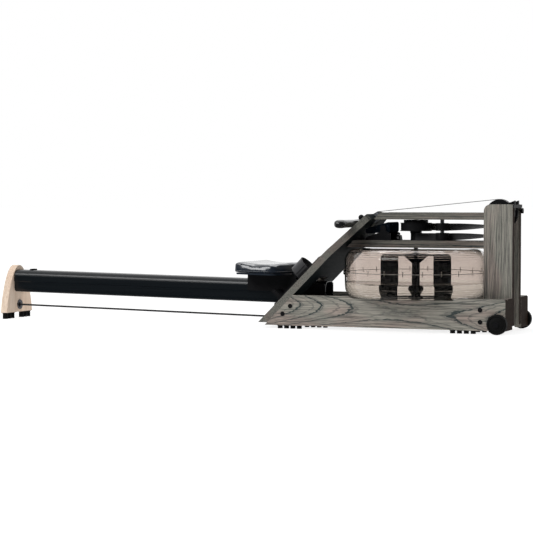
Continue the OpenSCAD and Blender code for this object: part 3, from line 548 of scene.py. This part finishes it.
def make_bands():
    webbing = make_webbing("webbing", (0.012, 0.012, 0.014))
    quarter = math.pi / 2
    strap_angle = line_angle((TANK_X, 0), REEL_R + LIFT, SPINDLE, GUIDE_R + LIFT)
    belt_angle = line_angle((TANK_X, 0), -DRUM_R - LIFT, SPINDLE, GUIDE_R + LIFT)
    roof_angle = line_angle(BOARD_ROLLER, BOARD_ROLLER_R + LIFT, TOP_PULLEY, TOP_R + LIFT)

    frames = [beside(TANK_X, 0, REEL_R + LIFT, quarter + strap_angle, STRAP_Z)]
    frames += [beside(*SPINDLE, GUIDE_R + LIFT, quarter + strap_angle * (1 - i / 6), STRAP_Z) for i in range(7)]
    frames += twist((0.795, STRAP_Z), (0.990, TOP_PULLEY[1] - TOP_R - LIFT))
    frames += [around(TOP_PULLEY, TOP_R + LIFT, -quarter + (math.pi + roof_angle) * i / 32) for i in range(33)]
    frames += [around(BOARD_ROLLER, BOARD_ROLLER_R + LIFT, quarter + roof_angle + math.radians(i * 7))
               for i in range(5)]
    band("pull_strap", frames, webbing, "frame", "handle_strap")

    frames = [turned(beside(TANK_X, 0, DRUM_R + LIFT, -quarter + belt_angle, BELT_Z))]
    frames += [beside(*SPINDLE, GUIDE_R + LIFT, quarter + belt_angle * (1 - i / 6), BELT_Z) for i in range(7)]
    frames += twist((0.795, BELT_Z), (0.990, LOW_PULLEY[1] + SMALL_R + LIFT))
    frames += [turned(around(LOW_PULLEY, SMALL_R + LIFT, quarter * (1 - i / 12))) for i in range(13)]
    frames += [turned(around((LOW_PULLEY[0], BOTTOM_Z), SMALL_R + LIFT, -quarter * i / 12)) for i in range(13)]
    band("recoil_belt_run", frames, webbing, "frame", "recoil_belt")
    low_z = BOTTOM_Z - SMALL_R - LIFT
    flat = [(Vector((0.999 + (0.582 - 0.999) * i / 12, 0, low_z + (0.040 - low_z) * i / 12)), Vector((0, 1, 0)),
             Vector((0, 0, 1))) for i in range(13)]
    lower = band("recoil_belt_lower", flat, webbing, None)
    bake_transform(lower)

    sheath = make_webbing("cord_sheath", (0.010, 0.010, 0.011), 0.0012)
    points = [(-1.046, 0, 0.055), (-0.9, 0, 0.052), (-0.6, 0, 0.0465), (-0.3, 0, 0.0405), (0, 0, 0.035),
              (0.11, 0, 0.033), (0.24, 0, 0.035), (0.4, 0, 0.0375), (0.566, 0, 0.040)]
    cord = new_piece("bungee", tube(points, 0.00375), sheath, None, "bungee_cord")
    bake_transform(cord)

    handle_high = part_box("handle_bar")[1]
    angle = quarter + roof_angle + math.radians(28)
    start, _, out = around(BOARD_ROLLER, BOARD_ROLLER_R + LIFT, angle)
    finish = Vector((handle_high.x - 0.004, 0, handle_high.z - 0.006))
    free = [(start.lerp(finish, i / 12), Vector((0, 1, 0)), out) for i in range(13)]
    end = band("pull_strap_end", free, webbing, None, "handle_strap_end")
    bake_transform(end)
    return webbing


def make_foot_straps(webbing, black):
    """A band arched over each foot plate, with a buckle."""
    half_width, foot, spring = 0.03825, 0.0005, 0.017     # the arch: a half circle on two short legs
    plate_y, up = 0.102, 0.2895
    for name, y in (("foot_strap_left", -plate_y), ("foot_strap_right", plate_y)):
        arch = [(half_width, foot)]
        arch += [(half_width * math.cos(math.pi * i / 24), spring + half_width * math.sin(math.pi * i / 24))
                 for i in range(25)]
        arch.append((-half_width, foot))
        frames = []
        for i, (u, v) in enumerate(arch):
            angle = math.pi * min(max((i - 1) / 24, 0), 1)
            place = BOARD @ Vector((y + u, up, 0.008 + v))
            rotation = BOARD.to_3x3()
            frames.append((place, rotation @ Vector((0, 1, 0)),
                           rotation @ Vector((math.cos(angle), 0, math.sin(angle)))))
        replaced = ("foot_straps",) if y < 0 else ()
        band(name, frames, webbing, "frame", *replaced, width=0.055, thick=0.0033)
        outer = math.copysign(0.0385, y)
        corners = [(0.031, 0.004), (0.031, 0.016), (-0.031, 0.016), (-0.031, 0.004)]
        loop = [BOARD @ Vector((y + outer, up + u, 0.010 + v)) for u, v in rounded(corners, 0.004)]
        buckle = new_piece(name + "_buckle", closed_tube(loop, 0.0017), black, "frame")


def rounded(corners, radius, steps=5):
    """A closed outline with its corners rounded."""
    points = []
    for i, corner in enumerate(corners):
        before, here, after = Vector(corners[i - 1]), Vector(corner), Vector(corners[(i + 1) % len(corners)])
        start = here + (before - here).normalized() * radius
        end = here + (after - here).normalized() * radius
        for j in range(steps + 1):
            t = j / steps
            points.append(((1 - t) ** 2 * start + 2 * t * (1 - t) * here + t * t * end)[:])
    return points


def closed_tube(points, radius, steps=8):
    """A round tube along a closed loop of points."""
    bm = bmesh.new()
    count = len(points)
    centre = sum(points, Vector()) / count
    loops = []
    for i, place in enumerate(points):
        ahead = (points[(i + 1) % count] - points[i - 1]).normalized()
        out = (place - centre)
        out = (out - ahead * out.dot(ahead)).normalized()
        up = ahead.cross(out)
        loops.append([bm.verts.new(place + radius * (math.cos(a) * out + math.sin(a) * up))
                      for a in (2 * math.pi * k / steps for k in range(steps))])
    for i in range(count):
        a, b = loops[i], loops[(i + 1) % count]
        for k in range(steps):
            bm.faces.new((a[k], a[(k + 1) % steps], b[(k + 1) % steps], b[k]))
    return bm


# ---------------------------------------------------------------- seat and handle

def inflate(piece, pressure, cap, pinned):
    """Swells a closed mesh by a cloth simulation. No point moves further than cap, and pinned says what stays."""
    mesh = piece.data
    group = piece.vertex_groups.new(name="pinned")
    group.add([vertex.index for vertex in mesh.vertices if pinned(vertex.co)], 1.0, "REPLACE")
    cloth = piece.modifiers.new("cloth", "CLOTH")
    cloth.settings.use_pressure = True
    cloth.settings.uniform_pressure_force = pressure
    cloth.settings.vertex_group_mass = "pinned"
    cloth.settings.tension_stiffness = cloth.settings.compression_stiffness = 60
    cloth.settings.bending_stiffness = 20
    cloth.settings.effector_weights.gravity = 0
    cloth.collision_settings.use_collision = False
    for step in range(1, 21):
        bpy.context.scene.frame_set(step)
    swollen = piece.evaluated_get(bpy.context.evaluated_depsgraph_get()).data
    places = [vertex.co.copy() for vertex in swollen.vertices]
    piece.modifiers.clear()
    for vertex, place in zip(mesh.vertices, places):
        move = place - vertex.co
        if move.length > cap:
            move *= cap / move.length
        vertex.co += move
    bpy.context.scene.frame_set(1)
    piece.vertex_groups.clear()


def make_seat():
    """The cushion: the pad's solid drawn in, its edges softened, swollen by simulation, with a piped seam."""
    pinned_height, seam_height = 0.033, 0.0345      # above the rail's top
    draw_in = 0.001           # room for the swelling
    cover = make_seat_cover()
    dress(cover, "seat_base")
    mesh = nodes["seat_pad"].data.copy()
    mesh.materials.clear()
    pad = new_piece("seat_cushion", mesh, cover, None)
    remesh = pad.modifiers.new("remesh", "REMESH")
    remesh.mode = "VOXEL"
    remesh.voxel_size = 0.005
    soften = pad.modifiers.new("soften", "SMOOTH")
    soften.factor = 0.5
    soften.iterations = 3
    apply_modifiers(pad)
    for vertex, normal in [(vertex, vertex.normal.copy()) for vertex in pad.data.vertices]:
        vertex.co -= normal * draw_in
    up = RAIL.inverted()
    inflate(pad, 4.0, 0.005, lambda place: (up @ place).z < pinned_height)
    relax = pad.modifiers.new("relax", "SMOOTH")
    relax.factor = 0.5
    relax.iterations = 12
    pad.modifiers.new("subdivision", "SUBSURF").levels = 1
    apply_modifiers(pad)
    for polygon in pad.data.polygons:
        polygon.use_smooth = True
    tree = BVHTree.FromObject(pad, bpy.context.evaluated_depsgraph_get())
    centre = RAIL @ Vector((0.095, 0, seam_height))
    loop = []
    for i in range(180):
        angle = 2 * math.pi * i / 180
        out = RAIL.to_3x3() @ Vector((math.cos(angle), math.sin(angle), 0))
        hit = tree.ray_cast(centre + out * 0.5, -out)[0]
        if hit:
            loop.append(hit)
    piping = new_piece("seat_piping", closed_tube(loop, 0.0015), cover, "seat")
    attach(pad, "seat")
    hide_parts("seat_pad")


def make_handle(black):
    """The grip with two end caps set off by grooves, and the strap's clamp round its middle."""
    low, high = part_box("handle_bar")
    centre, reach = (low + high) / 2, (high - low) / 2
    # (half length, share of the full section): the grip, a groove and the rounded cap
    half = [(0.0, 0.95), (0.05, 0.95), (0.10, 0.96), (0.15, 0.97), (0.190, 0.98), (0.1955, 0.985),
            (0.1960, 0.93), (0.1990, 0.93), (0.1995, 1.0), (0.206, 1.0), (0.214, 0.95), (0.221, 0.82),
            (0.226, 0.62), (0.229, 0.35), (0.230, 0.08)]
    stations = [(-y, scale) for y, scale in reversed(half)] + half[1:]

    def section(y, scale):
        return [centre + Vector((a, y, b)) for a, b in
                (superellipse(2 * math.pi * k / 40, reach.x * scale, reach.z * scale, 0.8) for k in range(40))]

    foam = make_moulded("grip_foam", (0.010, 0.010, 0.011), 0.5, 900, 0.0001, specular_ior_level=0.1,
                        coat_weight=1.0, coat_roughness=0.10)
    grip = new_piece("handle_grip", loft([section(y, scale) for y, scale in stations]), foam, "handle",
                     "handle_bar")
    clamp = [(-0.0165, 0.955), (-0.0160, 0.985), (-0.0145, 0.995), (0.0145, 0.995), (0.0160, 0.985),
             (0.0165, 0.955)]
    new_piece("handle_clamp", loft([section(y, scale) for y, scale in clamp]), black, "handle")


make_camera()
make_surroundings()
make_floor()
dress_wood()
black = dress_hardware()
dress_tank()
webbing = make_bands()
make_foot_straps(webbing, black)
make_seat()
make_handle(black)
